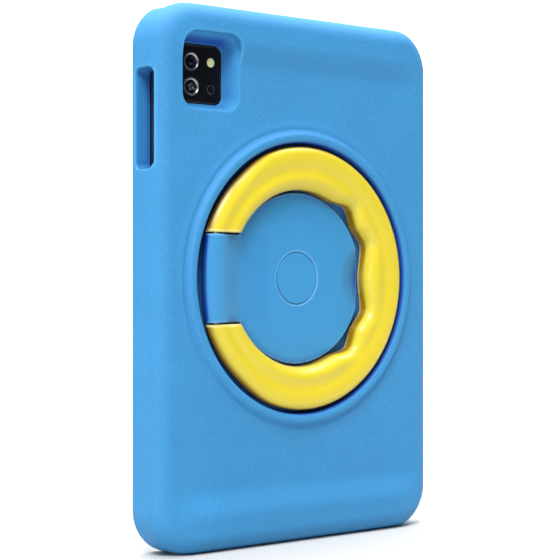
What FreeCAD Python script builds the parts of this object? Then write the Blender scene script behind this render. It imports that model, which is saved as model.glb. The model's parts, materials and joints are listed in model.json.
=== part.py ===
import FreeCAD, Part
import math
import os
from FreeCAD import Vector

# Children's tablet in a foam bumper case with a turntable and a hinged ring handle on its back.
#
# Frame: the tablet stands upright in portrait, +Z up, the screen faces -Y, the handle is on the +Y side.
# The origin is at the middle of the case's bottom edge, halfway through its depth. Lengths are millimetres.

# ---------------------------------------------------------------- driving dimensions
CASE_W = 178.0
CASE_H = 260.0
CASE_CORNER = 21.0
FRONT_Y = -13.0
PANEL_Y = 9.75                 # flat middle of the rear face
BUMPER_Y = 12.6               # thicker ends of the rear face
CREST_Y = 13.0                 # highest line of the ring handle
REAR_FILLET = 9.0
FRONT_FILLET = 5.0
BUMPER_START = 99.5            # from the middle, where the rear face starts to rise
BUMPER_END = 117.5             # from the middle, where it is fully thick
MID_Z = CASE_H / 2             # height of the turntable's axis

TAB_W = 159.6
TAB_H = 239.6
TAB_CORNER = 6.0
TAB_BACK_Y = -1.0
TAB_FRONT_Y = -10.3
FIT_GAP = 0.3                  # foam to tablet, on every side
FLOOR_Y = 1.0                  # floor of the round recess
CAVITY_BACK_Y = -0.75          # inner face of the foam's back

RECESS_R = 67.0
LIP_FOOT_R = 76.0
LIP_H = 2.0

DISC_R = 42.6
DISC_Y = 4.8
HUB_UNDER_Y = 1.4
CAP_R = 12.7

RING_OUT = 64.9
RING_IN = 44.2
RING_UNDER_Y = 1.5
RING_END = 21.9                # half the gap between the ring's two ends
YOKE_END = 21.2                # half the length of the yoke
HINGE_X = 54.0
HINGE_Y = 8.5
PIN_R = 1.5

os.makedirs("parts", exist_ok=True)
AXIS_Y = Vector(0, 1, 0)
HUB = Vector(0, 0, MID_Z)


# ---------------------------------------------------------------- helpers
def outline(points, place):
    """Closed wire: points are (a, b), or (a, b, am, bm) for an arc to (a, b) through (am, bm)."""
    edges = []
    last = points[-1][:2]
    for p in points:
        start, end = place(*last), place(*p[:2])
        if len(p) == 4:
            edges.append(Part.Arc(start, place(*p[2:]), end).toShape())
        elif (start - end).Length > 1e-6:
            edges.append(Part.LineSegment(start, end).toShape())
        last = p[:2]
    return Part.Wire(edges)


def rounded(x0, x1, z0, z1, r, y):
    """Rounded rectangle wire in a plane of constant y."""
    k = r * (1 - math.sqrt(0.5))
    pts = [(x0 + r, z0), (x1 - r, z0), (x1, z0 + r, x1 - k, z0 + k), (x1, z1 - r),
           (x1 - r, z1, x1 - k, z1 - k), (x0 + r, z1), (x0, z1 - r, x0 + k, z1 - k),
           (x0, z0 + r), (x0 + r, z0, x0 + k, z0 + k)]
    return outline(pts, lambda a, b: Vector(a, y, b))


def slab(x0, x1, z0, z1, r, y0, y1):
    """Rounded rectangle from y0 to y1."""
    return Part.Face(rounded(x0, x1, z0, z1, r, y0)).extrude(Vector(0, y1 - y0, 0))


def block(x0, x1, y0, y1, z0, z1):
    return Part.makeBox(x1 - x0, y1 - y0, z1 - z0, Vector(x0, y0, z0))


def disc(r, y0, y1, x=0.0, z=MID_Z):
    """Cylinder along Y."""
    return Part.makeCylinder(r, y1 - y0, Vector(x, y0, z), AXIS_Y)


def rod(r, z0, z1, x, y):
    """Cylinder along Z."""
    return Part.makeCylinder(r, z1 - z0, Vector(x, y, z0), Vector(0, 0, 1))


def turned(points, angle=360.0):
    """Solid of revolution about the turntable's axis, from (radius, y) points."""
    face = Part.Face(outline(points, lambda r, y: Vector(r, y, MID_Z)))
    return face.revolve(HUB, AXIS_Y, angle)


def funnel(inner, outer):
    """Flared opening between two wires."""
    return Part.makeLoft([inner, outer], True, True)


def edges_where(shape, test):
    return [e for e in shape.Edges if test(e)]


def try_fillet(shape, radius, edges):
    """Rounds the edges, one after another where the kernel can't round them together."""
    try:
        done = shape.makeFillet(radius, edges)
        if done.isValid() and done.Volume > 0:
            return done
    except Exception:
        pass
    print("fillet not made", radius, len(edges))
    return shape


def box_of(edge):
    return edge.BoundBox


# ---------------------------------------------------------------- foam case
def lip_ring():
    """Soft raised lip round the recess."""
    pts = [(RECESS_R - 1, 4.0), (RECESS_R - 1, 8.9), (71.0, PANEL_Y + LIP_H, 68.0, 11.2),
           (LIP_FOOT_R, PANEL_Y - 0.1, 74.4, 10.5), (LIP_FOOT_R, 4.0)]
    return turned(pts)


def bumper(sign):
    """Thicker end of the rear face: it swells from the flat middle and fades towards the sides."""
    side = outline([(-BUMPER_START, PANEL_Y - 0.5), (-BUMPER_START - 4, PANEL_Y + 0.1),
                    (-BUMPER_END, BUMPER_Y, -BUMPER_START - 10.5, PANEL_Y + 1.5),
                    (-CASE_H, BUMPER_Y), (-CASE_H, 0.0), (-BUMPER_START, 0.0)],
                   lambda a, y: Vector(-CASE_W, y, MID_Z - sign * a))
    swell = Part.Face(side).extrude(Vector(2 * CASE_W, 0, 0))
    half = CASE_W / 2
    fade = outline([(-half + 1, 0.0), (-half + 3.5, 6.0), (-half + 9, PANEL_Y - 0.05),
                    (-66.0, BUMPER_Y, -half + 15, PANEL_Y + 1.4), (66.0, BUMPER_Y),
                    (half - 9, PANEL_Y - 0.05, half - 15, PANEL_Y + 1.4), (half - 3.5, 6.0), (half - 1, 0.0)],
                   lambda a, y: Vector(a, y, 0))
    fade = Part.Face(fade).extrude(Vector(0, 0, CASE_H))
    body = slab(-half + 0.05, half - 0.05, 0.05, CASE_H - 0.05, CASE_CORNER, -2.0, BUMPER_Y)
    body = try_fillet(body, REAR_FILLET, edges_where(body, lambda e: box_of(e).YMin > BUMPER_Y - 0.01))
    return body.common(swell).common(fade)


def case_body():
    half = CASE_W / 2
    body = slab(-half, half, 0, CASE_H, CASE_CORNER, FRONT_Y, PANEL_Y)
    body = try_fillet(body, REAR_FILLET, edges_where(body, lambda e: box_of(e).YMin > PANEL_Y - 0.01))
    body = try_fillet(body, FRONT_FILLET, edges_where(body, lambda e: box_of(e).YMax < FRONT_Y + 0.01))
    return body.fuse([bumper(1), bumper(-1), lip_ring()]).removeSplitter()


def camera_window():
    """Flared hole over the rear cameras."""
    inner = rounded(44.4, 69.9, 213.2, 241.7, 4.0, CAVITY_BACK_Y - 0.3)
    outer = rounded(40.3, 74.6, 209.4, 246.6, 7.5, PANEL_Y + 0.2)
    wide = rounded(39.6, 75.3, 208.7, 247.3, 7.8, BUMPER_Y + 2)
    return funnel(inner, outer).fuse(funnel(outer, wide))


def top_mouth(x, half_x, y0, y1, flare, depth):
    """Port opening through the top wall with a flared mouth."""
    top = Part.makeLoft([flat_outline(x, half_x, y0, y1, 0.0, CASE_H - depth),
                         flat_outline(x, half_x, y0, y1, flare, CASE_H + 0.6)], True, True)
    hole = Part.Face(flat_outline(x, half_x, y0, y1, 0.0, 249.0)).extrude(Vector(0, 0, CASE_H + 1 - 249.0))
    return hole.fuse(top)


def flat_outline(x, half_x, y0, y1, grow, z):
    """Rounded rectangle in a plane of constant z."""
    a, b, c, d = x - half_x - grow, x + half_x + grow, y0 - grow, y1 + grow
    r = min(b - a, d - c) * 0.45
    k = r * (1 - math.sqrt(0.5))
    pts = [(a + r, c), (b - r, c), (b, c + r, b - k, c + k), (b, d - r), (b - r, d, b - k, d - k),
           (a + r, d), (a, d - r, a + k, d - k), (a, c + r), (a + r, c, a + k, c + k)]
    return outline(pts, lambda p, q: Vector(p, q, z))


def button_slot():
    """Long window in the side wall over the two buttons."""
    hole = block(79.0, 92.0, -8.0, 4.8, 182.0, 230.2)
    return try_fillet(hole, 3.0, edges_where(hole, lambda e: box_of(e).XLength > 5))


def make_foam_case():
    grow = FIT_GAP
    half = TAB_W / 2 + grow
    low = MID_Z - TAB_H / 2 - grow
    high = MID_Z + TAB_H / 2 + grow
    cavity = slab(-half, half, low, high, TAB_CORNER + grow, TAB_FRONT_Y - grow, CAVITY_BACK_Y)
    screen = slab(-75.5, 75.5, 14.5, 245.5, 5.0, FRONT_Y - 1, TAB_FRONT_Y)
    recess = turned([(0, FLOOR_Y), (RECESS_R - 1.5, FLOOR_Y), (RECESS_R, FLOOR_Y + 1.5),
                     (RECESS_R, 9.2), (68.6, 12.2, 67.5, 11.0), (68.6, 16.0), (0, 16.0)])
    body = case_body()
    tools = [cavity, screen, recess, disc(30.0, CAVITY_BACK_Y - 1, 3.0),
             disc(39.0, CAVITY_BACK_Y - 1, PLATE_TOP_Y), camera_window(), button_slot(),
             top_mouth(JACK_X, 3.6, -8.0, -0.8, 4.2, 4.0), top_mouth(USB_X, 6.5, -7.6, -1.2, 3.6, 3.0)]
    for x in SPEAKER_X:
        for i in range(4):
            tools.append(rod(1.6, -1.0, 11.0, x + 5.5 * (i - 1.5), -4.4))
    for tool in tools:
        body = body.cut(tool)
    return body


# ---------------------------------------------------------------- turntable
PLATE_TOP_Y = 0.3
JACK_X = 72.0
USB_X = -28.7
SPEAKER_X = (-48.0, 48.0)


def screw(r_head, head, r_shank, shank, x, y, z, sign):
    """Round-headed screw with a cross recess; its head faces sign along Y."""
    axis = Vector(0, sign, 0)
    body = Part.makeCylinder(r_head, head, Vector(x, y, z), axis)
    body = body.fuse(Part.makeCylinder(r_shank, shank, Vector(x, y, z), Vector(0, -sign, 0)))
    for a, b in ((r_head * 0.6, r_head * 0.15), (r_head * 0.15, r_head * 0.6)):
        slot = Part.makeBox(2 * a, head * 0.6, 2 * b, Vector(x - a, 0, z - b))
        slot.translate(Vector(0, y + head - head * 0.6 if sign > 0 else y - head, 0))
        body = body.cut(slot)
    return body


BASE_SCREWS = [(20.0 * math.cos(math.radians(a)), MID_Z + 20.0 * math.sin(math.radians(a)))
               for a in (45, 135, 225, 315)]


def make_backing_plate():
    """Plate on the inner side of the foam, drawn up against it by four screws."""
    plate = disc(38.7, -0.7, 0.2).fuse(disc(29.7, 0.2, 0.9))
    for x, z in BASE_SCREWS:
        plate = plate.cut(disc(1.0, -2, 3, x, z))
    return plate.cut(disc(1.6, -2, 3))


def make_turntable_base():
    """Flange on the recess floor with the boss that the turntable turns on."""
    base = disc(36.0, 1.0, 1.9).fuse(disc(9.0, 1.0, 3.3))
    base = base.cut(disc(1.6, 0.0, 4.0))
    for x, z in BASE_SCREWS:
        base = base.cut(disc(1.35, 0, 4, x, z)).cut(disc(2.5, 1.3, 4, x, z))
    return base


def make_base_screws():
    return Part.makeCompound([screw(2.3, 0.5, 0.95, 1.9, x, 1.3, z, 1) for x, z in BASE_SCREWS])


def make_pivot_cap():
    """Round cap over the middle of the turntable."""
    cap = disc(CAP_R, 3.6, DISC_Y)
    cap = try_fillet(cap, 0.3, edges_where(cap, lambda e: box_of(e).YMin > DISC_Y - 0.01))
    return cap.fuse(disc(8.0, 3.3, 3.7)).cut(disc(3.0, 2.0, 4.3))


def make_pivot_screw():
    return screw(2.8, 0.8, 1.5, 2.6, 0, 3.3, MID_Z, 1)


def yoke_profile():
    """Cross-section of the yoke: the disc's top sweeps up over the hinge barrel."""
    pts = [(41.0, 1.5), (41.0, DISC_Y), (44.0, DISC_Y + 0.15), (49.5, 10.2, 47.2, 6.6),
           (HINGE_X + 1.0, CREST_Y - 0.25, 51.6, 12.2), (61.3, 8.2, 60.0, 11.3),
           (60.6, 3.4), (57.6, 1.5, 59.8, 2.0)]
    return Part.Face(outline(pts, lambda x, y: Vector(x, y, MID_Z - YOKE_END)))


def make_hub_disc():
    """Turntable disc, one piece with the yoke that carries the hinge."""
    body = disc(DISC_R, HUB_UNDER_Y, DISC_Y)
    body = try_fillet(body, 0.8, edges_where(body, lambda e: box_of(e).YMin > DISC_Y - 0.01))
    scoop = block(-52, -30.2, -12, 0, MID_Z - 15.8, MID_Z + 15.8)
    corners = edges_where(scoop, lambda e: box_of(e).XMin > -31 and box_of(e).YLength > 5)
    scoop = try_fillet(scoop, 4.0, corners)
    scoop.translate(Vector(30.2, 12, 0))
    scoop.rotate(Vector(0, 0, 0), Vector(0, 0, 1), 14.0)
    scoop.translate(Vector(-30.2, DISC_Y, 0))
    body = body.fuse(yoke_profile().extrude(Vector(0, 0, 2 * YOKE_END)))
    body = body.cut(scoop)
    body = body.cut(disc(36.4, 0.5, 2.3)).cut(disc(9.06, 0.0, 6.0)).cut(disc(CAP_R + 0.3, 3.3, 7.0))
    for sign in (-1, 1):
        z0, z1 = sorted((MID_Z + sign * (YOKE_END - 9), MID_Z + sign * (YOKE_END + 1)))
        body = body.cut(rod(BUSH_R, z0, z1, HINGE_X, HINGE_Y))
    return body


BUSH_R = 2.6


def make_hinge_bush(sign):
    """Friction bush pressed into the yoke's end."""
    z0, z1 = sorted((MID_Z + sign * (YOKE_END - 9), MID_Z + sign * YOKE_END))
    return rod(BUSH_R, z0, z1, HINGE_X, HINGE_Y).cut(rod(PIN_R + 0.05, z0 - 1, z1 + 1, HINGE_X, HINGE_Y))


def make_hinge_pin(sign):
    """Steel pin from the ring's end into the bush, knurled end inside the ring."""
    z0, z1 = sorted((MID_Z + sign * (YOKE_END - 8), MID_Z + sign * (RING_END + 6)))
    pin = rod(PIN_R, z0, z1, HINGE_X, HINGE_Y)
    return try_fillet(pin, 0.3, edges_where(pin, lambda e: box_of(e).ZLength < 0.01))


# ---------------------------------------------------------------- ring handle
GRIP = [(0, 43.4), (10, 44.7), (21, 46.7), (28, 46.1), (34, 45.9),
        (40, 46.9), (47, 48.2), (54, 46.6), (61, 44.4)]    # (angle, inner radius) from the hinge's far side


def ring_face(inset, y):
    """C-ring outline with the finger grips on its inner edge; the closed ring is cut open later."""
    outer = Part.Wire(Part.Circle(Vector(0, y, MID_Z), AXIS_Y, RING_OUT - inset).toShape())
    polar = [(a, r) for a, r in GRIP]
    polar += [(a, RING_IN) for a in range(72, 290, 12)]
    polar += [(360 - a, r) for a, r in reversed(GRIP[1:])]
    pts = []
    for a, r in polar:
        t = math.radians(a)
        pts.append(Vector(-(r + inset) * math.cos(t), y, MID_Z + (r + inset) * math.sin(t)))
    curve = Part.BSplineCurve()
    curve.interpolate(Points=pts, PeriodicFlag=True)
    inner = Part.Wire(curve.toShape())
    return Part.Face(outer).cut(Part.Face(inner))


def ring_solid(inset, y0, y1, r_out, r_in, r_under):
    body = ring_face(inset, y0).extrude(Vector(0, y1 - y0, 0))
    top = edges_where(body, lambda e: box_of(e).YMin > y1 - 0.01)
    for edge in top:
        size = r_out if box_of(edge).XLength > 2 * RING_OUT - 2 * inset - 1 else r_in
        body = try_fillet(body, size, [e for e in edges_where(body, lambda e: box_of(e).YMin > y1 - 0.01)
                                       if abs(e.Length - edge.Length) < 0.5])
    under = edges_where(body, lambda e: box_of(e).YMax < y0 + 0.01)
    return try_fillet(body, r_under, under)


def ring_trim(gap):
    """Material taken off the ring: the gap for the yoke and the corners that would hit the recess."""
    gap_block = block(20, 80, -5, 20, MID_Z - gap, MID_Z + gap)
    corner = block(HINGE_X, 80, -5, HINGE_Y, 70, 190)
    corner = corner.cut(rod(HINGE_CLEAR_R, 70, 190, HINGE_X, HINGE_Y))
    return [gap_block, corner]


HINGE_CLEAR_R = 7.0
SPLIT_Y = 4.6
HANDLE_SCREW_ANGLES = (-120, -70, 0, 70, 120)


def on_ring(angle, r=54.6):
    t = math.radians(angle)
    return -r * math.cos(t), MID_Z + r * math.sin(t)


def ring_full():
    body = ring_solid(0.0, RING_UNDER_Y, CREST_Y, 9.5, 7.5, 1.2)
    for tool in ring_trim(RING_END):
        body = body.cut(tool)
    return body


def ring_hollow():
    body = ring_solid(2.2, RING_UNDER_Y + 1.8, CREST_Y - 2.2, 6.5, 4.5, 0.8)
    for tool in ring_trim(RING_END + 9.0):
        body = body.cut(tool)
    return body


def make_handle_front_shell():
    """Domed upper shell of the C-ring, with screw bosses and the two pin sockets."""
    body = ring_full().cut(ring_hollow())
    body = body.common(block(-80, 80, SPLIT_Y, 20, 50, 210))
    for angle in HANDLE_SCREW_ANGLES:
        x, z = on_ring(angle)
        body = body.fuse(disc(3.2, SPLIT_Y, CREST_Y - 1.5, x, z)).cut(disc(1.0, 3, 10, x, z))
    for sign in (-1, 1):
        z0, z1 = sorted((MID_Z + sign * (RING_END - 1), MID_Z + sign * (RING_END + 6.2)))
        body = body.cut(rod(PIN_R + 0.02, z0, z1, HINGE_X, HINGE_Y))
    return body


def make_handle_back_shell():
    """Flat under shell of the C-ring."""
    body = ring_full().cut(ring_hollow()).common(block(-80, 80, 0, SPLIT_Y, 50, 210))
    for angle in HANDLE_SCREW_ANGLES:
        x, z = on_ring(angle)
        body = body.fuse(disc(3.2, RING_UNDER_Y + 0.5, SPLIT_Y, x, z))
        body = body.cut(disc(1.3, 0, 10, x, z)).cut(disc(2.6, 0, 2.9, x, z))
    return body


def make_handle_screws():
    spots = [on_ring(a) for a in HANDLE_SCREW_ANGLES]
    return Part.makeCompound([screw(2.4, 1.0, 0.95, 5.5, x, 2.9, z, -1) for x, z in spots])


# ---------------------------------------------------------------- tablet shell
TX = TAB_W / 2
TZ0 = MID_Z - TAB_H / 2
TZ1 = MID_Z + TAB_H / 2
RIM = 3.5
FRAME_BACK_Y = -2.6
GLASS_BACK_Y = -9.4
CAM_X = 62.4
CAM_Z = (MID_Z + 91.3, MID_Z + 103.2)
FLASH_X = 50.7
FLASH_Z = CAM_Z[1] + 0.3
SENSOR_Z = CAM_Z[0] - 0.9
BTN_Y = -4.9
POWER_Z = (215.0, 226.0)
VOLUME_Z = (187.0, 209.0)


def make_back_cover():
    body = slab(-TX, TX, TZ0, TZ1, TAB_CORNER, FRAME_BACK_Y, TAB_BACK_Y)
    body = try_fillet(body, 1.2, edges_where(body, lambda e: box_of(e).YMin > TAB_BACK_Y - 0.01))
    wall = 1.6
    inner = slab(-TX + wall, TX - wall, TZ0 + wall, TZ1 - wall, TAB_CORNER - wall,
                 FRAME_BACK_Y - 1, TAB_BACK_Y - 1.1)
    return body.cut(inner).cut(slab(46.4, 67.9, 215.4, 239.3, 2.0, -4, 2))


def make_mid_frame():
    """Rim of the tablet with the thin deck that the screen and the electronics are fixed to."""
    body = slab(-TX, TX, TZ0, TZ1, TAB_CORNER, TAB_FRONT_Y, FRAME_BACK_Y)
    inner = slab(-TX + RIM, TX - RIM, TZ0 + RIM, TZ1 - RIM, 3.0, -6.6, 0)
    front = slab(-TX + RIM, TX - RIM, TZ0 + RIM, TZ1 - RIM, 3.0, GLASS_BACK_Y - 1, -7.2)
    glass = slab(-TX + 0.8, TX - 0.8, TZ0 + 0.8, TZ1 - 0.8, TAB_CORNER - 0.8, TAB_FRONT_Y - 1, GLASS_BACK_Y)
    for tool in (inner, front, glass, block(-12, 12, -8, -6, 192.5, 196.5)):
        body = body.cut(tool)
    for z0, z1 in (POWER_Z, VOLUME_Z):
        body = body.cut(block(74, 84, BTN_Y - 1.5, BTN_Y + 1.5, z0 - 0.3, z1 + 0.3))
        body = body.cut(block(74, 78.3, BTN_Y - 1.65, BTN_Y + 2.0, z0 - 1.3, z1 + 1.3))
    body = body.cut(Part.makeCylinder(1.75, 20, Vector(JACK_X, -4.4, 240), Vector(0, 0, 1)))
    body = body.cut(slab_z(USB_X, 4.6, -4.4, 1.7, 243, 255))
    for x in SPEAKER_X:
        for i in range(4):
            body = body.cut(rod(0.9, 8, 15, x + 5.5 * (i - 1.5), -4.4))
    body = body.cut(block(-90, -75, -5.2, -3.8, 189.8, 202.2))
    return body


def slab_z(x, half_x, y, half_y, z0, z1):
    """Rounded slot shape running along Z."""
    wire = flat_outline(x, half_x, y - half_y, y + half_y, 0.0, z0)
    return Part.Face(wire).extrude(Vector(0, 0, z1 - z0))


def make_cover_glass():
    return slab(-TX + 0.9, TX - 0.9, TZ0 + 0.9, TZ1 - 0.9, TAB_CORNER - 0.9, TAB_FRONT_Y, GLASS_BACK_Y)


def make_display_panel():
    return slab(-75.6, 75.6, 14.5, 239.0, 1.5, GLASS_BACK_Y, -8.1)


def make_backlight():
    return slab(-75.6, 75.6, 14.5, 239.0, 1.5, -8.1, -7.2)


def make_front_camera():
    lens = disc(1.6, GLASS_BACK_Y, -8.9, 0, 243.2)
    return block(-2.8, 2.8, -8.9, -7.2, 240.4, 246.0).fuse(lens)


def make_camera_island():
    """Raised black cover over the rear cameras."""
    body = slab(44.7, 69.6, 213.5, 241.4, 3.8, TAB_BACK_Y, 0.3)
    body = try_fillet(body, 0.4, edges_where(body, lambda e: box_of(e).YMin > 0.29))
    for z in CAM_Z:
        body = body.cut(disc(4.45, -2, 2, CAM_X, z))
    return body.cut(disc(2.4, -2, 2, FLASH_X, FLASH_Z)).cut(disc(2.0, -2, 2, FLASH_X, SENSOR_Z))


def make_lens_ring(z):
    body = disc(4.45, TAB_BACK_Y, 0.6, CAM_X, z)
    body = try_fillet(body, 0.35, edges_where(body, lambda e: box_of(e).YMin > 0.59))
    return body.cut(disc(3.3, -2, 2, CAM_X, z))


def make_lens_glass(z):
    return disc(3.3, -0.6, 0.2, CAM_X, z)


def make_camera_module(z, side):
    """Sensor block with its lens barrel."""
    body = block(CAM_X - side, CAM_X + side, -6.6, -2.3, z - side, z + side)
    return body.fuse(disc(3.2, -2.4, -0.6, CAM_X, z)).cut(disc(2.0, -1.4, 0, CAM_X, z))


def make_flash():
    return disc(2.4, TAB_BACK_Y, 0.35, FLASH_X, FLASH_Z).cut(disc(1.5, 0.15, 1, FLASH_X, FLASH_Z))


def make_flash_led():
    return block(FLASH_X - 1.6, FLASH_X + 1.6, BOARD_Y + 0.8, -1.0, FLASH_Z - 1.6, FLASH_Z + 1.6)


def make_rear_sensor():
    return disc(2.0, TAB_BACK_Y, 0.25, FLASH_X, SENSOR_Z)


# ---------------------------------------------------------------- buttons
def make_button(z0, z1):
    """Side button with a flange that keeps it in the rim."""
    cap = block(77.0, 80.9, BTN_Y - 1.2, BTN_Y + 1.2, z0, z1)
    cap = try_fillet(cap, 0.8, edges_where(cap, lambda e: box_of(e).XLength > 3))
    return cap.fuse(block(77.0, 77.9, BTN_Y - 1.35, BTN_Y + 1.7, z0 - 1.0, z1 + 1.0))


def make_button_board():
    return block(72.6, 73.4, BTN_Y - 1.4, BTN_Y + 1.4, 186.0, 227.0)


def dome_switch(z):
    base = block(73.4, 75.4, BTN_Y - 1.3, BTN_Y + 1.3, z - 2.0, z + 2.0)
    plunger = Part.makeCylinder(0.8, 0.8, Vector(75.4, BTN_Y, z), Vector(1, 0, 0))
    return base.fuse(plunger)


def make_power_switch():
    return dome_switch(sum(POWER_Z) / 2)


def make_volume_switches():
    return Part.makeCompound([dome_switch(VOLUME_Z[0] + 4.0), dome_switch(VOLUME_Z[1] - 4.0)])


# ---------------------------------------------------------------- inside the tablet
BOARD_Y = -6.0


def make_battery():
    body = block(-58.0, 34.0, -6.6, -2.7, 60.0, 178.0)
    return try_fillet(body, 1.2, edges_where(body, lambda e: box_of(e).ZLength > 100))


def make_battery_wrap():
    """Protection strip along the battery's upper edge."""
    return block(-40.0, 16.0, -5.6, -3.6, 178.0, 182.0)


def make_battery_plug():
    return block(-8.0, 2.0, -5.2, -3.4, 199.0, 203.0)


def make_main_board():
    body = block(-70.0, 55.0, BOARD_Y - 0.6, BOARD_Y + 0.8, 198.0, 236.0)
    for x, z in BOARD_SCREWS:
        body = body.cut(disc(1.0, -9, 0, x, z))
    return body


BOARD_SCREWS = [(-58.0, 201.5), (-66.0, 232.5), (-14.0, 232.5), (42.0, 201.5)]


def make_board_screws():
    return Part.makeCompound([screw(1.7, 0.7, 0.9, 1.3, x, BOARD_Y + 0.8, z, 1) for x, z in BOARD_SCREWS])


def make_shield(x0, x1, z0, z1):
    return block(x0, x1, BOARD_Y + 0.8, BOARD_Y + 2.6, z0, z1).cut(
        block(x0 + 0.3, x1 - 0.3, BOARD_Y, BOARD_Y + 2.3, z0 + 0.3, z1 - 0.3))


def make_chip(x0, x1, z0, z1):
    return block(x0, x1, BOARD_Y + 0.8, BOARD_Y + 1.9, z0, z1)


def make_usb_port():
    shell = slab_z(USB_X, 4.5, -4.4, 1.6, 240.0, 249.4)
    inner = slab_z(USB_X, 4.1, -4.4, 1.2, 241.5, 250.0)
    tongue = block(USB_X - 3.2, USB_X + 3.2, -4.75, -4.05, 241.0, 248.6)
    return shell.cut(inner).fuse(tongue)


def make_headphone_jack():
    body = block(JACK_X - 3.0, JACK_X + 3.0, -6.4, -2.4, 233.0, 245.6)
    return body.cut(Part.makeCylinder(1.75, 14, Vector(JACK_X, -4.4, 235.0), Vector(0, 0, 1)))


def make_speaker(x):
    body = block(x - 13, x + 13, -6.6, -2.8, TZ0 + RIM, 32.0)
    for i in range(4):
        body = body.cut(rod(0.9, 8, 17, x + 5.5 * (i - 1.5), -4.4))
    return body


def make_vibration_motor():
    return disc(5.0, -6.6, -3.4, 61.5, 196.0)


def make_antenna(x0, x1):
    return block(x0, x1, -5.4, -4.6, 243.0, 245.8)


def make_antenna_cable():
    return block(-66.0, -65.0, -5.2, -4.4, 236.0, 243.0)


def make_card_tray():
    """Memory card tray in the far side of the rim."""
    return block(-TX, -64.0, -5.0, -4.0, 190.0, 202.0).fuse(block(-TX, -TX + 1.0, -5.1, -3.9, 189.9, 202.1))


def make_card_reader():
    return block(-75.0, -62.0, -3.9, -3.0, 188.0, 197.5)


def make_display_ribbon():
    """Flat ribbon from the backlight through the deck to the main board."""
    return block(-10.0, 10.0, -7.2, -5.2, 194.2, 194.5).fuse(block(-10.0, 10.0, -5.2, -4.9, 194.2, 198.6))


def make_microphone():
    return block(20.0, 24.0, -6.6, -5.4, 239.0, 243.0)


# ---------------------------------------------------------------- write every piece
NODES = {
    "foam_case": make_foam_case,
    "backing_plate": make_backing_plate,
    "turntable_base": make_turntable_base,
    "base_screws": make_base_screws,
    "pivot_cap": make_pivot_cap,
    "pivot_screw": make_pivot_screw,
    "hub_disc": make_hub_disc,
    "hinge_bush_upper": lambda: make_hinge_bush(1),
    "hinge_bush_lower": lambda: make_hinge_bush(-1),
    "hinge_pin_upper": lambda: make_hinge_pin(1),
    "hinge_pin_lower": lambda: make_hinge_pin(-1),
    "handle_front_shell": make_handle_front_shell,
    "handle_back_shell": make_handle_back_shell,
    "handle_screws": make_handle_screws,
    "tablet_back_cover": make_back_cover,
    "tablet_mid_frame": make_mid_frame,
    "cover_glass": make_cover_glass,
    "display_panel": make_display_panel,
    "backlight": make_backlight,
    "front_camera": make_front_camera,
    "camera_island": make_camera_island,
    "lens_ring_upper": lambda: make_lens_ring(CAM_Z[1]),
    "lens_ring_lower": lambda: make_lens_ring(CAM_Z[0]),
    "lens_glass_upper": lambda: make_lens_glass(CAM_Z[1]),
    "lens_glass_lower": lambda: make_lens_glass(CAM_Z[0]),
    "camera_module_upper": lambda: make_camera_module(CAM_Z[1], 4.4),
    "camera_module_lower": lambda: make_camera_module(CAM_Z[0], 4.2),
    "flash_lens": make_flash,
    "flash_led": make_flash_led,
    "rear_sensor": make_rear_sensor,
    "power_button": lambda: make_button(*POWER_Z),
    "volume_rocker": lambda: make_button(*VOLUME_Z),
    "button_board": make_button_board,
    "power_switch": make_power_switch,
    "volume_switches": make_volume_switches,
    "battery": make_battery,
    "battery_strip": make_battery_wrap,
    "battery_plug": make_battery_plug,
    "main_board": make_main_board,
    "board_screws": make_board_screws,
    "processor_shield": lambda: make_shield(-56, -32, 206, 228),
    "processor_chip": lambda: make_chip(-51, -37, 210, 224),
    "memory_shield": lambda: make_shield(-2, 26, 208, 230),
    "memory_chip": lambda: make_chip(6, 20, 212, 226),
    "usb_port": make_usb_port,
    "headphone_jack": make_headphone_jack,
    "speaker_left": lambda: make_speaker(SPEAKER_X[0]),
    "speaker_right": lambda: make_speaker(SPEAKER_X[1]),
    "vibration_motor": make_vibration_motor,
    "wifi_antenna": lambda: make_antenna(-70, -44),
    "antenna_cable": make_antenna_cable,
    "card_tray": make_card_tray,
    "card_reader": make_card_reader,
    "display_ribbon": make_display_ribbon,
    "microphone": make_microphone,
}

for name, make in NODES.items():
    shape = make()
    size = shape.BoundBox
    print(name, len(shape.Solids), shape.isValid(),
          [round(v, 2) for v in (size.XMin, size.XMax, size.YMin, size.YMax, size.ZMin, size.ZMax)])
    shape.exportStep("parts/" + name + ".step")
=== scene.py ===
import json
import math
import bmesh
import bpy
import numpy as np
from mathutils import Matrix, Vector


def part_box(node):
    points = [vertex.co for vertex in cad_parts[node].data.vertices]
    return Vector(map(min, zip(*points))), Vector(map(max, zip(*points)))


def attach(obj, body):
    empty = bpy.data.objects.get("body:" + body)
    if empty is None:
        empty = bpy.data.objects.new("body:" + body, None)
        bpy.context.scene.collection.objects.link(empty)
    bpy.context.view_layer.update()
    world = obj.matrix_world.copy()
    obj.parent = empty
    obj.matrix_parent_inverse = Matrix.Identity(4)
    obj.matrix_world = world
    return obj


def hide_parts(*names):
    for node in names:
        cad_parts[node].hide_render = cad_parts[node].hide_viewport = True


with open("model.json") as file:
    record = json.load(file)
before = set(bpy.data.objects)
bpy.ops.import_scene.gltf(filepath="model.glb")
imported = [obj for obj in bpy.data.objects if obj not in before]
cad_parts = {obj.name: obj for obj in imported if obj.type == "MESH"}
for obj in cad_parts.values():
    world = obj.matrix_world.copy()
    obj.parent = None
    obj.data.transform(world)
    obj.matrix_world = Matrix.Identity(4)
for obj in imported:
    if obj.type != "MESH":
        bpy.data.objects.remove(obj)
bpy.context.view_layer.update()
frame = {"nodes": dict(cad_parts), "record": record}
NODES = frame["nodes"]
MM = 0.001
MID_Z = 130.0
PANEL_Y = 9.75


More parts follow.
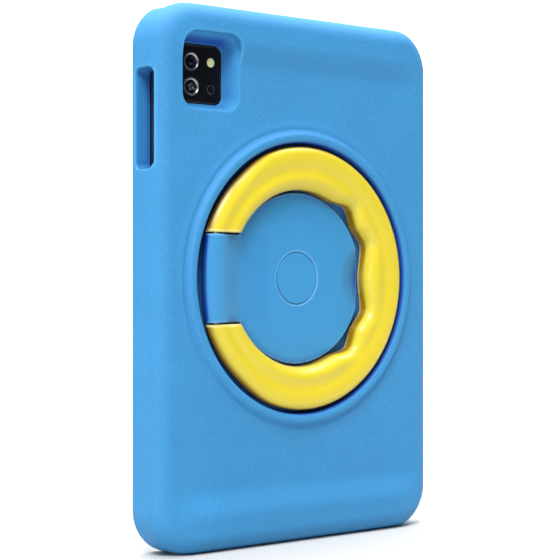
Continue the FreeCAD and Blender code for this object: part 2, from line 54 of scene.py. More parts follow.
# ------------------------------------------------------------ smooth solids as distance fields (mm)
def meet(a, b, r):
    """Intersection of two fields with a round edge of radius r."""
    u = np.maximum(a + r, 0.0)
    v = np.maximum(b + r, 0.0)
    return np.minimum(-r, np.maximum(a, b)) + np.hypot(u, v)


def carve(a, b, r):
    """a without b, with a round rim of radius r."""
    return meet(a, -b, r)


def rect(x, z, hx, hz, r):
    """Field of a rounded rectangle about the origin."""
    qx = np.abs(x) - hx + r
    qz = np.abs(z) - hz + r
    return np.hypot(np.maximum(qx, 0.0), np.maximum(qz, 0.0)) + np.minimum(np.maximum(qx, qz), 0.0) - r


def ease(t):
    """Smooth step from 0 to 1 as t goes from 0 to 1."""
    t = np.clip(t, 0.0, 1.0)
    return t * t * (3.0 - 2.0 * t)


def slope(field, p, h=0.04):
    """Gradient of a field at points p."""
    g = np.empty_like(p)
    for k in range(3):
        a = p.copy()
        b = p.copy()
        a[:, k] += h
        b[:, k] -= h
        g[:, k] = (field(*a.T) - field(*b.T)) / (2 * h)
    return g


def spread(lo, hi, step, finer=()):
    """Grid values from lo to hi, closer together inside each (start, end, step) of finer."""
    values = [lo - 1.5 * step]
    while values[-1] < hi + 1.5 * step:
        here = [f[2] for f in finer if f[0] <= values[-1] < f[1]]
        values.append(values[-1] + min(here + [step]))
    return np.array(values)


def skin(field, axes, relax=2):
    """Closed quad mesh of field = 0 on the grid of three axes, with normals from the field."""
    step = max(np.diff(v).max() for v in axes)
    grid = np.meshgrid(*axes, indexing="ij")
    val = field(*grid)
    neg = val < 0
    n = val.shape
    total = np.zeros((n[0] - 1, n[1] - 1, n[2] - 1, 3))
    count = np.zeros(total.shape[:3])
    crossings = []
    for k in range(3):
        first = [slice(None)] * 3
        second = [slice(None)] * 3
        first[k] = slice(0, -1)
        second[k] = slice(1, None)
        first, second = tuple(first), tuple(second)
        a, b = val[first], val[second]
        cross = neg[first] != neg[second]
        t = np.where(cross, a / np.where(cross, a - b, 1.0), 0.0)
        point = np.stack([grid[m][first] + t * (grid[m][second] - grid[m][first]) for m in range(3)], axis=-1)
        point *= cross[..., None]
        others = [m for m in range(3) if m != k]
        for da in (0, 1):
            for db in (0, 1):
                cut = [slice(None)] * 3
                cut[others[0]] = slice(da, n[others[0]] - 1 + da)
                cut[others[1]] = slice(db, n[others[1]] - 1 + db)
                total += point[tuple(cut)]
                count += cross[tuple(cut)]
        crossings.append((cross, neg[first], others))
    used = count > 0
    index = np.full(count.shape, -1)
    index[used] = np.arange(used.sum())
    verts = total[used] / count[used][:, None]
    quads = []
    for k, (cross, inside, others) in enumerate(crossings):
        i = np.argwhere(cross)
        ok = np.all(i[:, others] > 0, axis=1)
        for m in others:
            ok &= i[:, m] < n[m] - 1
        i = i[ok]
        flip = inside[tuple(i.T)]
        ring = []
        for da, db in ((-1, -1), (0, -1), (0, 0), (-1, 0)):
            c = i.copy()
            c[:, others[0]] += da
            c[:, others[1]] += db
            ring.append(index[tuple(c.T)])
        q = np.stack(ring, axis=1)
        if k == 1:
            flip = ~flip
        q[~flip] = q[~flip][:, ::-1]
        quads.append(q)
    quads = np.concatenate(quads)
    edges = np.concatenate([quads[:, [m, (m + 1) % 4]] for m in range(4)])
    size = len(verts)
    degree = np.bincount(edges[:, 0], minlength=size) + np.bincount(edges[:, 1], minlength=size)
    for turn in range(relax + 1):
        for _ in range(3):
            g = slope(field, verts)
            d = field(*verts.T) / np.maximum((g * g).sum(1), 0.05)
            move = -d[:, None] * g
            size_of = np.linalg.norm(move, axis=1)
            move *= np.minimum(1.0, 0.6 * step / np.maximum(size_of, 1e-9))[:, None]
            verts = verts + move
        if turn == relax:
            break
        mean = np.stack([np.bincount(edges[:, 0], verts[edges[:, 1], m], size)
                         + np.bincount(edges[:, 1], verts[edges[:, 0], m], size) for m in range(3)], axis=1)
        verts = verts + 0.5 * (mean / degree[:, None] - verts)
    g = slope(field, verts)
    g /= np.maximum(np.linalg.norm(g, axis=1), 1e-9)[:, None]
    return verts, quads, g


HOLLOW_REACH = (1.0, 2.2, 4.5, 8.0)
WINDOW_X = 57.5
WINDOW_Z = 228.0


def hollows(around, verts, normals):
    """How enclosed each point is, from 0 in the open to 1 deep in a gap or in the camera window, as the mask
    for painted shade; in the window the walls that face down get more.
    """
    shut = [np.clip(1.0 - around(*(verts + d * normals).T) / d, 0.0, 1.0) for d in HOLLOW_REACH]
    x, y, z = verts.T
    in_window = (np.abs(x - WINDOW_X) < 20) & (np.abs(z - WINDOW_Z) < 21) & (y > -0.8)
    depth = np.where(in_window, ease((9.6 - y) / 7.0), 0.0)
    return np.maximum(np.mean(shut, axis=0), depth * (0.16 + 0.34 * np.maximum(-normals[:, 2], 0.0)))


def edges_of(field, verts, normals, reach):
    """How sharply each point bulges out, from 0 on a flat face to 1 on an edge, as the mask for a painted
    highlight.
    """
    return np.clip((reach + field(*(verts - reach * normals).T)) / (0.3 * reach), 0.0, 1.0)


def carved(name, field, axes, around=None, rim=1.6, form=None):
    """Mesh object of a field, with its hollows and the edges of its outer form stored as masks for the
    materials' painted shade and painted highlight.
    """
    verts, quads, normals = skin(field, axes)
    obj = mesh_object(name, verts, quads, normals)
    for key, value in (("hollow", hollows(around or field, verts, normals)),
                       ("edge", edges_of(form or field, verts, normals, rim))):
        layer = obj.data.attributes.new(key, "FLOAT", "POINT")
        layer.data.foreach_set("value", value.astype(np.float32))
    return obj


def mesh_object(name, verts, faces, normals):
    """Smooth-shaded mesh from millimetre points, with the given normals."""
    mesh = bpy.data.meshes.new(name)
    faces = np.asarray(faces)
    mesh.vertices.add(len(verts))
    mesh.vertices.foreach_set("co", (np.asarray(verts) * MM).astype(np.float32).ravel())
    mesh.loops.add(faces.size)
    mesh.loops.foreach_set("vertex_index", faces.ravel().astype(np.int32))
    mesh.polygons.add(len(faces))
    mesh.polygons.foreach_set("loop_start", np.arange(0, faces.size, faces.shape[1], dtype=np.int32))
    mesh.polygons.foreach_set("use_smooth", np.ones(len(faces), dtype=bool))
    mesh.update(calc_edges=True)
    mesh.validate()
    mesh.normals_split_custom_set_from_vertices([tuple(v) for v in normals])
    obj = bpy.data.objects.new(name, mesh)
    bpy.context.scene.collection.objects.link(obj)
    return obj


# ------------------------------------------------------------ foam case
HALF_W = 89.0
HALF_H = 130.0
CORNER = 21.0
FRONT_Y = -13.0
REAR_ROUND = 9.0
FRONT_ROUND = 4.0
ISLAND_X = 57.15        # middle of the camera cover, and of the window round it
ISLAND_Z = 227.45
SLOT_Z = 204.8          # middle of the side window over the keys
SLOT_HALF = 23.7
PORT_Y = -4.4           # depth at which the top openings and the speaker holes are
TOP_MOUTHS = ((72.0, 3.6, 3.6, 2.6, 4.0), (-28.7, 6.5, 3.2, 3.0, 3.4))  # x, half sizes, flare, flare's depth
SPEAKER_X = (-48.0, 48.0)
SPEAKER_PITCH = 5.5
SPEAKER_HOLE_R = 1.6
RECESS_R = 67.0
RECESS_FLOOR = 1.0
LIP_R = 70.4
LIP_HALF = 3.2


def rear_height(x, zc, radius):
    """Height of the rear face: flat middle, swollen ends and the soft lip round the recess."""
    swell = 3.2 * ease((np.abs(zc) - 99.5) / 14.5) * (1.0 - ease((np.abs(x) - 61.0) / 26.0))
    apron = 0.65 * (1.0 - ease((radius - 73.0) / 6.5))
    t = (radius - LIP_R) / LIP_HALF
    outside = np.cos(0.5 * math.pi * np.clip(t, 0.0, 1.0)) ** 2
    bead = 2.05 * np.where(t > 0.0, outside, 1.0 - 0.3 * np.minimum(t * t, 1.2))
    crease = 0.4 * np.exp(-((radius - LIP_R - LIP_HALF) / 1.1) ** 2)
    return PANEL_Y + swell + apron + bead - crease


def foam_field(x, y, z):
    """Foam case with its recess, camera window, side window, openings and room for the tablet."""
    zc = z - MID_Z
    radius = np.hypot(x, zc)
    plan = rect(x, zc, HALF_W, HALF_H, CORNER)
    body = meet(plan, y - rear_height(x, zc, radius), REAR_ROUND)
    body = meet(body, FRONT_Y - y, FRONT_ROUND)
    recess = meet(radius - RECESS_R, RECESS_FLOOR - y, 1.6)
    body = carve(body, recess, 1.5)
    t = np.clip(y / PANEL_Y, 0.0, 1.0)
    window_x = x - (ISLAND_X + 0.3 * t)
    window_z = z - (ISLAND_Z + 0.55 * t)
    window = rect(window_x, window_z, 12.75 + 4.1 * t, 14.25 + 4.0 * t, 4.0 + 3.6 * t)
    window = np.maximum(window * 0.92, -4.0 - y)
    body = carve(body, window, 0.7)
    slot = np.maximum(rect(z - SLOT_Z, y + 1.7, SLOT_HALF, 6.3, 3.2), 79.0 - x)
    body = carve(body, slot, 0.5)
    for cx, hx, hy, grow, deep in TOP_MOUTHS:
        g = grow * np.clip(1.0 + plan / deep, 0.0, 1.3) ** 1.4
        mouth = np.maximum(rect(x - cx, y - PORT_Y, hx + g, hy + g, 2.9 + g) * 0.75, 240.0 - z)
        body = carve(body, mouth, 1.0)
    for cx in SPEAKER_X:
        for k in range(4):
            along = x - cx - SPEAKER_PITCH * (k - 1.5)
            hole = np.maximum(np.hypot(along, y - PORT_Y) - SPEAKER_HOLE_R, z - 14.0)
            body = carve(body, hole, 0.4)
    cavity = np.maximum(rect(x, zc, 80.1, 120.1, 6.3), np.abs(y + 5.65) - 4.95)
    body = np.maximum(body, -cavity)
    screen = np.maximum(rect(x, zc, 75.5, 115.5, 5.0), y + 6.0)
    body = carve(body, screen, 1.0)
    return np.maximum(body, 30.0 - radius)


# ------------------------------------------------------------ turntable disc and yoke
DISC_R = 42.6
DISC_Y = 4.8
YOKE_END = 21.2
SCOOP_X = -48.2
SCOOP_R = 52.2
SCOOP_Y = DISC_Y + 49.0


def hub_form(x, y, z):
    """The disc and the yoke as if solid down to their underside."""
    zc = z - MID_Z
    radius = np.hypot(x, zc)
    disc = meet(radius - DISC_R, y - DISC_Y, 0.6)
    far = 62.4 - (zc / YOKE_END) ** 2 * 1.3
    top = DISC_Y + 7.3 * ease((x - 34.0) / 21.0)
    yoke = meet((y - top) * 0.92, x - far, 6.4)
    yoke = meet(yoke, 0.82 * (x - far) - 0.57 * (y - 9.6), 2.0)
    yoke = np.maximum(yoke, 20.0 - x)
    yoke = meet(yoke, np.abs(zc) - YOKE_END, 0.55)
    body = np.minimum(disc, yoke)
    scoop = np.sqrt((x - SCOOP_X) ** 2 + (y - SCOOP_Y) ** 2 + zc ** 2) - SCOOP_R
    body = carve(body, scoop, 0.35)
    cap = np.maximum(radius - 13.0, 3.3 - y)
    return carve(body, cap, 0.3)


HUB_HOLLOW_R = 33.0
HUB_BORE_R = 9.06


def hub_field(x, y, z):
    """The disc and the yoke with the hollow underneath and the bore for the base's boss."""
    radius = np.hypot(x, z - MID_Z)
    under = np.maximum(radius - HUB_HOLLOW_R, y - 2.3)
    body = np.maximum(hub_form(x, y, z), -under)
    body = np.maximum(body, HUB_BORE_R - radius)
    return meet(body, 1.45 - y, 0.5)


# ------------------------------------------------------------ ring handle
RING_OUT = 65.8
RING_IN = 43.8
RING_CREST = 13.0
RING_UNDER = 1.5
RING_END = 21.9
SPLIT_Y = 2.6
RING_SHOULDER = 4.2
END_SHOULDER = 9.5     # rounder towards the hinge, so that the flipping ring clears the foam rim
END_NARROW = 0.4        # how much smaller the outer radius is there
END_LOWER = 0.35        # and how much lower the crest
CHANNEL_R = 53.6
CHANNEL_DEEP = 1.0
HINGE = (54.0, 8.5)
HINGE_SWEEP = 7.1
GRIP = [(0, 42.9), (9, 44.2), (21, 48.0), (28, 46.3), (34, 45.0),
        (40, 46.8), (47, 49.2), (54, 46.6), (60, 44.2)]    # (angle, inner radius) of the finger grips


def grip_radius(angle):
    """Inner radius of the ring at an angle in degrees from the far side of the yoke."""
    a = np.abs((angle + 180.0) % 360.0 - 180.0)
    knots = np.array([g[0] for g in GRIP] + [67, 80, 180], float)
    value = np.array([g[1] for g in GRIP] + [RING_IN, RING_IN, RING_IN], float)
    fine = np.linspace(-180, 180, 3601)
    raw = np.interp(np.abs(fine), knots, value)
    kernel = np.hanning(111)
    smooth = np.convolve(np.pad(raw, 55, mode="wrap"), kernel / kernel.sum(), "valid")
    return np.interp(a, fine, smooth)


def ring_field(x, y, z):
    """C-ring: a crowned top, widest high up, tucked in below, its ends cut flat."""
    zc = z - MID_Z
    radius = np.hypot(x, zc)
    inner = grip_radius(np.degrees(np.arctan2(zc, -x)))
    middle = 0.5 * (RING_OUT + inner)
    across = (radius - middle) / (0.5 * (RING_OUT - inner))
    channel = CHANNEL_DEEP * np.exp(-((radius - CHANNEL_R) / 3.8) ** 2)
    near = ease((x - 22.0) / 22.0)
    out = RING_OUT - END_NARROW * near
    top = RING_CREST - END_LOWER * near - 0.5 * np.clip(np.abs(across), 0.0, 1.2) ** 2 - channel
    body = meet(y - top, radius - out, RING_SHOULDER + (END_SHOULDER - RING_SHOULDER) * near)
    body = meet(body, (inner - radius) * 0.92, 6.2)
    body = meet(body, 0.795 * (radius - out) - 0.607 * (y - 9.6), 1.8)
    body = meet(body, RING_UNDER - y, 1.0)
    off_axis = np.where(x > HINGE[0], np.hypot(x - HINGE[0], y - HINGE[1]), np.abs(y - HINGE[1]))
    sweep = off_axis - HINGE_SWEEP
    body = meet(body, np.where(x > 20.0, sweep, -30.0), 0.8)
    ends = np.where(x > 20.0, RING_END - np.abs(zc), -30.0)
    return meet(body, ends, 0.6)


def upper_shell(x, y, z):
    """The ring above its parting line."""
    return meet(ring_field(x, y, z), SPLIT_Y + 0.03 - y, 0.08)


def under_shell(x, y, z):
    """The ring below its parting line."""
    return meet(ring_field(x, y, z), y - SPLIT_Y + 0.03, 0.08)


def all_rear(x, y, z):
    """Everything the rear is made of at rest, so that the gaps between the pieces count as hollows and get
    painted shade, which stays in place when the ring flips out.
    """
    return np.minimum(np.minimum(foam_field(x, y, z), hub_field(x, y, z)), ring_field(x, y, z))


# ------------------------------------------------------------ rear camera details
def middle_z(box):
    """Height of the middle of a CAD node's box in millimetres."""
    return (box[0][2] + box[1][2]) / 2 / MM


CAM_X = 62.4
FLASH_X = 50.7
LENS_Z = (middle_z(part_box("lens_ring_lower")), middle_z(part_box("lens_ring_upper")))
FLASH_Z = middle_z(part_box("flash_lens"))
SENSOR_Z = middle_z(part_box("rear_sensor"))


def island_field(x, y, z):
    """Camera cover: a raised plate with a soft rim, open over the lenses."""
    plan = rect(x - ISLAND_X, z - ISLAND_Z, 12.45, 13.95, 3.8)
    dish = 0.3 - 0.16 * ease((-plan - 0.5) / 0.4)
    body = meet(plan, y - dish, 0.35)
    body = np.maximum(body, -1.0 - y)
    holes = [(CAM_X, cz, 4.1) for cz in LENS_Z]
    holes += [(FLASH_X, FLASH_Z, 2.0), (FLASH_X, SENSOR_Z, 1.8)]
    for cx, cz, r in holes:
        body = np.maximum(body, r - np.hypot(x - cx, z - cz))
    return body


def turned(name, profile, x, z, sides=64):
    """Lathe a (radius, y) profile about an axis along Y; a radius of 0 closes it."""
    angles = np.linspace(0.0, 2.0 * math.pi, sides, endpoint=False)
    rows = [np.stack([x + r * np.cos(angles), np.full(sides, y), z + r * np.sin(angles)], axis=1)
            for r, y in profile]
    verts = np.concatenate(rows)
    faces = []
    for k in range(len(profile)):
        n = (k + 1) % len(profile)
        for i in range(sides):
            j = (i + 1) % sides
            faces.append((k * sides + i, n * sides + i, n * sides + j, k * sides + j))
    mesh = bpy.data.meshes.new(name)
    bm = bmesh.new()
    points = [bm.verts.new(v) for v in (verts * MM).tolist()]
    for face in faces:
        bm.faces.new([points[i] for i in face])
    bmesh.ops.remove_doubles(bm, verts=bm.verts, dist=1e-6)
    bmesh.ops.dissolve_degenerate(bm, dist=1e-7, edges=bm.edges)
    bmesh.ops.recalc_face_normals(bm, faces=bm.faces)
    for face in bm.faces:
        face.smooth = True
    for edge in bm.edges:
        edge.smooth = not (len(edge.link_faces) == 2 and edge.calc_face_angle(0.0) > math.radians(35))
    bm.to_mesh(mesh)
    bm.free()
    obj = bpy.data.objects.new(name, mesh)
    bpy.context.scene.collection.objects.link(obj)
    return obj


# ------------------------------------------------------------ materials
def new_material(name, rough, **sockets):
    """Principled material; a keyword sets the input of that name, with _ for a space."""
    mat = bpy.data.materials.new(name)
    mat.use_nodes = True
    bsdf = mat.node_tree.nodes["Principled BSDF"]
    bsdf.inputs["Roughness"].default_value = rough
    for key, value in sockets.items():
        bsdf.inputs[key.replace("_", " ")].default_value = value
    return mat, mat.node_tree, bsdf


def noise(tree, scale, detail=3.0, rough=0.5):
    """Noise texture in the piece's own coordinates."""
    coord = tree.nodes.new("ShaderNodeTexCoord")
    tex = tree.nodes.new("ShaderNodeTexNoise")
    tex.inputs["Scale"].default_value = scale
    tex.inputs["Detail"].default_value = detail
    tex.inputs["Roughness"].default_value = rough
    tree.links.new(coord.outputs["Object"], tex.inputs["Vector"])
    return tex


def ramp(tree, source, stops):
    """Colour ramp with (position, colour) stops."""
    node = tree.nodes.new("ShaderNodeValToRGB")
    node.color_ramp.elements[0].position = stops[0][0]
    node.color_ramp.elements[0].color = stops[0][1]
    node.color_ramp.elements[1].position = stops[-1][0]
    node.color_ramp.elements[1].color = stops[-1][1]
    for pos, col in stops[1:-1]:
        node.color_ramp.elements.new(pos).color = col
    tree.links.new(source, node.inputs["Fac"])
    return node


def grey(v):
    """Opaque grey."""
    return (v, v, v, 1.0)


def tint(color, k=1.0):
    """Opaque colour, k times as bright."""
    return (min(color[0] * k, 1.0), min(color[1] * k, 1.0), min(color[2] * k, 1.0), 1.0)


def mixed(tree, mode, factor, a, b):
    """Colour mix node; factor and b are a number or colour, or a socket."""
    node = tree.nodes.new("ShaderNodeMix")
    node.data_type = "RGBA"
    node.blend_type = mode
    for key, value in (("Factor", factor), ("A", a), ("B", b)):
        if isinstance(value, bpy.types.NodeSocket):
            tree.links.new(value, node.inputs[key])
        else:
            node.inputs[key].default_value = value
    return node.outputs["Result"]


def stored(tree, name, low, high, most=1.0):
    """A mesh attribute, stretched so that low gives 0 and high gives most."""
    node = tree.nodes.new("ShaderNodeAttribute")
    node.attribute_name = name
    return ramp(tree, node.outputs["Fac"], [(low, grey(0.0)), (high, grey(most))]).outputs["Color"]


def bump(tree, bsdf, height, strength, distance, chain=None):
    """Surface relief from a height, on top of the chain bump where there is one."""
    node = tree.nodes.new("ShaderNodeBump")
    node.inputs["Strength"].default_value = strength
    node.inputs["Distance"].default_value = distance
    tree.links.new(height, node.inputs["Height"])
    if chain is not None:
        tree.links.new(chain.outputs["Normal"], node.inputs["Normal"])
    tree.links.new(node.outputs["Normal"], bsdf.inputs["Normal"])
    return node


def shaded(tree, color, deep, edge_highlight, highlight_amount, full=0.5):
    """Colour with painted shade in the hollows, from the deep colour, and a painted highlight on the edges.
    """
    color = mixed(tree, "MIX", stored(tree, "hollow", 0.04, full), color, tint(deep))
    return mixed(tree, "MIX", stored(tree, "edge", 0.15, 1.0, highlight_amount), color, tint(edge_highlight))


def plastic(name, color, rough, mottle=0.04, grain=900.0, lift=0.00002,
            deep=None, edge_highlight=None, highlight_amount=0.5, full=0.5, polish=0.15, **sockets):
    """Moulded plastic: faint mottling, uneven polish and a very fine surface texture; given a deep colour,
    also painted shade in the hollows and a painted highlight on the edges.
    """
    mat, tree, bsdf = new_material(name, rough, **sockets)
    cloud = noise(tree, 45.0, 4.0)
    shade = ramp(tree, cloud.outputs["Fac"], [(0.3, tint(color, 1 - mottle)), (0.7, tint(color, 1 + mottle))])
    result = shade.outputs["Color"]
    if deep:
        result = shaded(tree, result, deep, edge_highlight, highlight_amount, full)
    tree.links.new(result, bsdf.inputs["Base Color"])
    wiped = noise(tree, 160.0, 5.0, 0.6)
    shine = [(0.3, grey(rough * (1 - polish))), (0.7, grey(rough * (1 + polish)))]
    gloss = ramp(tree, wiped.outputs["Fac"], shine)
    tree.links.new(gloss.outputs["Color"], bsdf.inputs["Roughness"])
    fine = noise(tree, grain, 2.0)
    bump(tree, bsdf, fine.outputs["Fac"], 0.25, lift)
    return mat


def foam_material():
    """Closed-cell foam: fine pebble grain, small pores and slightly uneven colour, with painted shade in the
    hollows and a painted highlight on the edges.
    """
    color = (0.038, 0.25, 0.525)
    mat, tree, bsdf = new_material("foam", 0.62)
    bsdf.inputs["Specular IOR Level"].default_value = 0.35
    cloud = noise(tree, 28.0, 2.0)
    wide = ramp(tree, cloud.outputs["Fac"], [(0.3, tint(color, 0.97)), (0.7, tint(color, 1.03))])
    grain = noise(tree, 1600.0, 2.0, 0.6)
    speck = ramp(tree, grain.outputs["Fac"], [(0.3, grey(0.86)), (0.7, grey(1.14))])
    result = mixed(tree, "MULTIPLY", 1.0, wide.outputs["Color"], speck.outputs["Color"])
    # painted deep-blue shade in the hollows and gaps, and a painted pale-blue highlight on the edges
    result = shaded(tree, result, (0.009, 0.07, 0.38), (0.11, 0.46, 0.8), 0.24)
    tree.links.new(result, bsdf.inputs["Base Color"])
    rough = ramp(tree, grain.outputs["Fac"], [(0.3, grey(0.55)), (0.7, grey(0.72))])
    tree.links.new(rough.outputs["Color"], bsdf.inputs["Roughness"])
    cells = tree.nodes.new("ShaderNodeTexVoronoi")
    cells.inputs["Scale"].default_value = 1000.0
    coord = tree.nodes.new("ShaderNodeTexCoord")
    tree.links.new(coord.outputs["Object"], cells.inputs["Vector"])
    first = bump(tree, bsdf, cells.outputs["Distance"], 0.35, 0.00008)
    bump(tree, bsdf, grain.outputs["Fac"], 0.45, 0.00012, first)
    return mat


def screen_material():
    """Cover glass: black border, and behind it the slightly lighter display that is switched off."""
    mat, tree, bsdf = new_material("screen_glass", 0.06)
    low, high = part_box("display_panel")
    coord = tree.nodes.new("ShaderNodeTexCoord")
    part = tree.nodes.new("ShaderNodeSeparateXYZ")
    tree.links.new(coord.outputs["Object"], part.inputs["Vector"])
    inside = None
    for axis, k in (("X", 0), ("Z", 2)):
        away = tree.nodes.new("ShaderNodeMath")
        away.operation = "COMPARE"
        away.inputs[1].default_value = 0.5 * (low[k] + high[k])
        away.inputs[2].default_value = 0.5 * (high[k] - low[k])
        tree.links.new(part.outputs[axis], away.inputs[0])
        if inside is None:
            inside = away.outputs[0]
        else:
            both = tree.nodes.new("ShaderNodeMath")
            both.operation = "MULTIPLY"
            tree.links.new(inside, both.inputs[0])
            tree.links.new(away.outputs[0], both.inputs[1])
            inside = both.outputs[0]
    color = mixed(tree, "MIX", inside, (0.003, 0.003, 0.0035, 1.0), (0.011, 0.012, 0.016, 1.0))
    tree.links.new(color, bsdf.inputs["Base Color"])
    smear = noise(tree, 35.0, 5.0, 0.6)
    gloss = ramp(tree, smear.outputs["Fac"], [(0.35, grey(0.035)), (0.75, grey(0.09))])
    tree.links.new(gloss.outputs["Color"], bsdf.inputs["Roughness"])
    return mat


def metal(name, color, rough, **sockets):
    """Bare metal with a faint brushed texture."""
    mat, tree, bsdf = new_material(name, rough, Metallic=1.0, **sockets)
    brushed = noise(tree, 600.0, 3.0)
    shade = ramp(tree, brushed.outputs["Fac"], [(0.3, tint(color, 0.92)), (0.7, tint(color, 1.04))])
    tree.links.new(shade.outputs["Color"], bsdf.inputs["Base Color"])
    gloss = ramp(tree, brushed.outputs["Fac"], [(0.3, grey(rough * 0.8)), (0.7, grey(rough * 1.25))])
    tree.links.new(gloss.outputs["Color"], bsdf.inputs["Roughness"])
    bump(tree, bsdf, brushed.outputs["Fac"], 0.15, 0.00002)
    return mat


MATS = {
    "foam": foam_material(),
    # painted dark-blue shade in the disc's hollows and gaps, and a painted highlight on its edges
    "hub_plastic": plastic("hub_plastic", (0.04, 0.27, 0.56), 0.38, 0.015, Specular_IOR_Level=0.4,
                           deep=(0.005, 0.055, 0.33), edge_highlight=(0.2, 0.55, 0.85)),
    # painted golden-brown shade in the ring's hollows and gaps, and a painted highlight on its edges
    "handle_plastic": plastic("handle_plastic", (0.69, 0.555, 0.032), 0.3, 0.015,
                              deep=(0.3, 0.17, 0.003), edge_highlight=(0.85, 0.78, 0.3), highlight_amount=0.6,
                              full=0.36, polish=0.05),
    "dark_plastic": plastic("dark_plastic", (0.02, 0.02, 0.022), 0.5),
    "steel": metal("steel", (0.3, 0.3, 0.31), 0.35),
    "tablet_shell": plastic("tablet_shell", (0.012, 0.018, 0.05), 0.4),
    "screen_glass": screen_material(),
    "panel": plastic("panel", (0.01, 0.01, 0.01), 0.5),
    "diffuser": plastic("diffuser", (0.8, 0.8, 0.8), 0.6),
    # painted grey highlight on the camera cover's rim
    "island": plastic("island", (0.004, 0.004, 0.005), 0.3, Specular_IOR_Level=0.2,
                      deep=(0.002, 0.002, 0.002), edge_highlight=(0.12, 0.12, 0.13), highlight_amount=0.7),
    "lens_metal": metal("lens_metal", (0.3, 0.31, 0.33), 0.28),
    "lens_glass": plastic("lens_glass", (0.003, 0.004, 0.008), 0.12, 0.3, 300.0, 0.000001,
                          Specular_IOR_Level=0.25),
    "flash": plastic("flash", (0.86, 0.82, 0.4), 0.2),
    "battery": plastic("battery", (0.03, 0.03, 0.032), 0.4),
    "board": plastic("board", (0.01, 0.09, 0.03), 0.35),
    "flex": plastic("flex", (0.45, 0.18, 0.02), 0.35),
}

slots = {entry["node"]: entry["material_slot"] for entry in frame["record"]["subparts"]}
for node, obj in NODES.items():
    mat = MATS[slots[node]]
    if not obj.material_slots:
        obj.data.materials.append(mat)
    for place in obj.material_slots:
        place.material = mat


# ------------------------------------------------------------ pieces
def piece(obj, body, slot, *nodes):
    """Give a mesh its body and material, in place of the CAD nodes that it stands for."""
    obj.data.materials.append(MATS[slot])
    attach(obj, body)
    if nodes:
        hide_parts(*nodes)
    return obj


coarse = 1.0
foam_axes = (spread(-89, 89, 1.3 * coarse, [(38, 42, 0.6), (70, 90, 0.8)]),
             spread(-13, 13, 1.0 * coarse),
             spread(0, 260, 1.3 * coarse, [(206, 216, 0.7), (236, 248, 0.7), (252, 262, 0.8)]))
foam = piece(carved("foam_shell", foam_field, foam_axes, all_rear, 1.3), "cased_tablet", "foam", "foam_case")
hub_step = 0.62 * coarse
hub_axes = (spread(-42.6, 63, hub_step), spread(1.4, 13, hub_step), spread(87.4, 172.6, hub_step))
disc = carved("turntable_disc", hub_field, hub_axes, all_rear, 1.1, hub_form)
piece(disc, "turntable", "hub_plastic", "hub_disc")
ring_step = 0.75 * coarse
plan = spread(-65, 65, ring_step)
upper_axes = (plan, spread(SPLIT_Y, 13, ring_step), plan + MID_Z)
under_axes = (plan, spread(RING_UNDER, SPLIT_Y, 0.4), plan + MID_Z)
ring_upper = carved("ring_upper", upper_shell, upper_axes, all_rear, 1.4, ring_field)
piece(ring_upper, "ring_handle", "handle_plastic", "handle_front_shell")
ring_under = carved("ring_under", under_shell, under_axes, all_rear, 1.4, ring_field)
piece(ring_under, "ring_handle", "handle_plastic", "handle_back_shell")

island_axes = (spread(44.7, 69.6, 0.35 * coarse), spread(-1.0, 0.3, 0.2), spread(213.5, 241.4, 0.35 * coarse))
piece(carved("camera_cover", island_field, island_axes, rim=0.45), "cased_tablet", "island", "camera_island")

# lathe profiles as (radius, y)
LENS_RING = [(4.43, -1.0), (4.43, 0.35), (4.3, 0.5), (4.1, 0.52), (3.5, -0.1), (3.3, -0.14), (3.3, -1.0)]
LENS_GLASS = [(0.0, -0.6), (3.27, -0.6), (3.27, -0.1), (2.5, -0.1), (2.3, -0.3), (1.7, -0.3), (1.6, -0.12),
              (1.3, 0.0), (0.9, 0.1), (0.45, 0.16), (0.0, 0.18)]
SENSOR = [(0.0, -1.0), (1.97, -1.0), (1.97, 0.1), (1.8, 0.2), (1.3, 0.2), (1.1, -0.1),
          (0.6, -0.1), (0.5, 0.1), (0.0, 0.2)]
FLASH = [(0.0, -1.0), (2.2, -1.0), (2.2, 0.15), (2.0, 0.3), (1.7, 0.32), (1.6, 0.2), (1.2, 0.3), (1.1, 0.18),
         (0.7, 0.3), (0.6, 0.16), (0.0, 0.24)]
for which, z in zip(("lower", "upper"), LENS_Z):
    bezel = turned("lens_bezel_" + which, LENS_RING, CAM_X, z)
    piece(bezel, "cased_tablet", "lens_metal", "lens_ring_" + which)
    front = turned("lens_front_" + which, LENS_GLASS, CAM_X, z)
    piece(front, "cased_tablet", "lens_glass", "lens_glass_" + which)
piece(turned("flash_window", FLASH, FLASH_X, FLASH_Z), "cased_tablet", "flash", "flash_lens")
piece(turned("light_sensor", SENSOR, FLASH_X, SENSOR_Z), "cased_tablet", "lens_glass", "rear_sensor")


def glint_blades_field(x, y, z):
    """Four bright metal blades in the lower lens that stand in for its star-shaped glint."""
    u = x - CAM_X
    v = z - LENS_Z[0]
    body = np.full(np.shape(x), 9.0)
    for turn in (20, 110, 200, 290):
        c = math.cos(math.radians(turn))
        q = math.sin(math.radians(turn))
        along = u * c + v * q - 1.05
        off = -u * q + v * c
        blade = np.sqrt((along / 0.85) ** 2 + (off / 0.48) ** 2 + ((y - 0.02) / 0.18) ** 2)
        body = np.minimum(body, blade * 0.4 - 0.4)
    return body


# metal blades put in to give the lower lens its star-shaped glint
glint_blades_axes = (spread(CAM_X - 2, CAM_X + 2, 0.16), spread(-0.2, 0.2, 0.08),
             spread(LENS_Z[0] - 2, LENS_Z[0] + 2, 0.16))
piece(carved("glint_blades", glint_blades_field, glint_blades_axes), "cased_tablet", "lens_metal")


# ------------------------------------------------------------ studio
ANGLE = math.radians(40.0)      # from the rear face's normal to the camera
AHEAD = Vector((-math.sin(ANGLE), -math.cos(ANGLE), 0.0))
RIGHT = Vector((-math.cos(ANGLE), math.sin(ANGLE), 0.0))
CENTRE = Vector((0.0, PANEL_Y * MM, MID_Z * MM))
FLOOR_HALF_WIDTH = 7.0


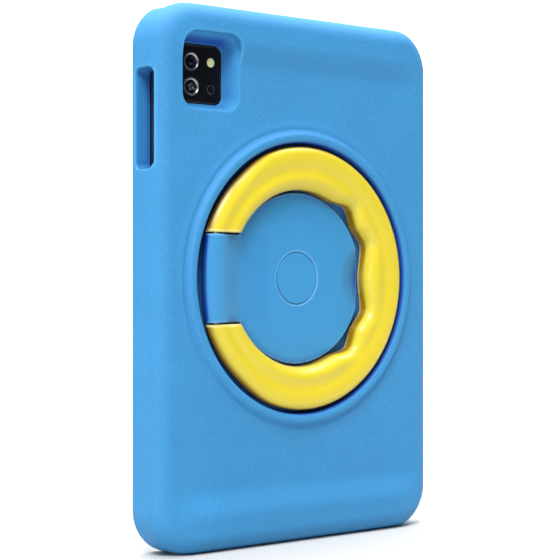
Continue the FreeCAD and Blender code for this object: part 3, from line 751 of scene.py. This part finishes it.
def studio():
    """Pale floor that sweeps up into a backdrop, behind the object as the camera sees it."""
    profile = [(-9.0, 0.0), (1.4, 0.0)]
    profile += [(1.4 + 1.0 * math.sin(a), 1.0 - math.cos(a)) for a in np.linspace(0.1, math.pi / 2, 14)]
    profile += [(2.4, 4.0)]
    edges = (-FLOOR_HALF_WIDTH, FLOOR_HALF_WIDTH)
    verts = [tuple(AHEAD * d + RIGHT * e + Vector((0, 0, h))) for d, h in profile for e in edges]
    faces = [(2 * k, 2 * k + 1, 2 * k + 3, 2 * k + 2) for k in range(len(profile) - 1)]
    mesh = bpy.data.meshes.new("floor")
    mesh.from_pydata(verts, [], faces)
    for poly in mesh.polygons:
        poly.use_smooth = True
    floor = bpy.data.objects.new("floor", mesh)
    bpy.context.scene.collection.objects.link(floor)
    mat, tree, bsdf = new_material("floor", 0.9)
    bsdf.inputs["Base Color"].default_value = (0.55, 0.55, 0.55, 1)
    mesh.materials.append(mat)


def aim(obj, target):
    """Turn an object so that it looks at a point."""
    obj.rotation_euler = (Vector(target) - obj.location).to_track_quat("-Z", "Y").to_euler()


def softbox(name, place, target, size, power, size_y=None):
    """White rectangular area light."""
    light = bpy.data.lights.new(name, "AREA")
    light.shape = "RECTANGLE"
    light.size = size
    light.size_y = size_y or size
    light.energy = power
    obj = bpy.data.objects.new(name, light)
    obj.location = place
    bpy.context.scene.collection.objects.link(obj)
    aim(obj, target)


def spot(right, up, near):
    """Point given as distances to the picture's right, up and towards the camera."""
    return CENTRE + RIGHT * right + Vector((0, 0, up)) - AHEAD * near


studio()
softbox("key", spot(-0.18, 1.6, 1.3), CENTRE, 0.9, 51.0)
softbox("top", spot(-0.1, 1.7, -0.15), CENTRE, 1.3, 7.0)
softbox("front", spot(-0.7, 0.1, 1.8), CENTRE, 0.5, 6.5)
softbox("left", spot(-1.8, 0.5, 0.2), CENTRE, 0.5, 2.5, size_y=1.5)
softbox("backdrop", CENTRE + AHEAD * 0.5 + Vector((0, 0, 2.0)), CENTRE + AHEAD * 2.4 + Vector((0, 0, 0.3)),
        4.0, 190.0, size_y=1.0)
bpy.context.scene.view_settings.view_transform = "Standard"
world = bpy.data.worlds.new("world")
bpy.context.scene.world = world
world.use_nodes = True
world.node_tree.nodes["Background"].inputs["Color"].default_value = (1, 1, 1, 1)
world.node_tree.nodes["Background"].inputs["Strength"].default_value = 0.09

CAMERA_LENS = 103.73
CAMERA_OFFSET = Vector((0.5232, 0.6053, 0.0))
camera = bpy.data.objects.new("camera", bpy.data.cameras.new("camera"))
bpy.context.scene.collection.objects.link(camera)
camera.data.sensor_width = 36.0
camera.data.lens = CAMERA_LENS
camera.data.shift_y = -0.003
camera.location = CENTRE + CAMERA_OFFSET
camera.rotation_euler = AHEAD.to_track_quat("-Z", "Y").to_euler()
bpy.context.scene.camera = camera
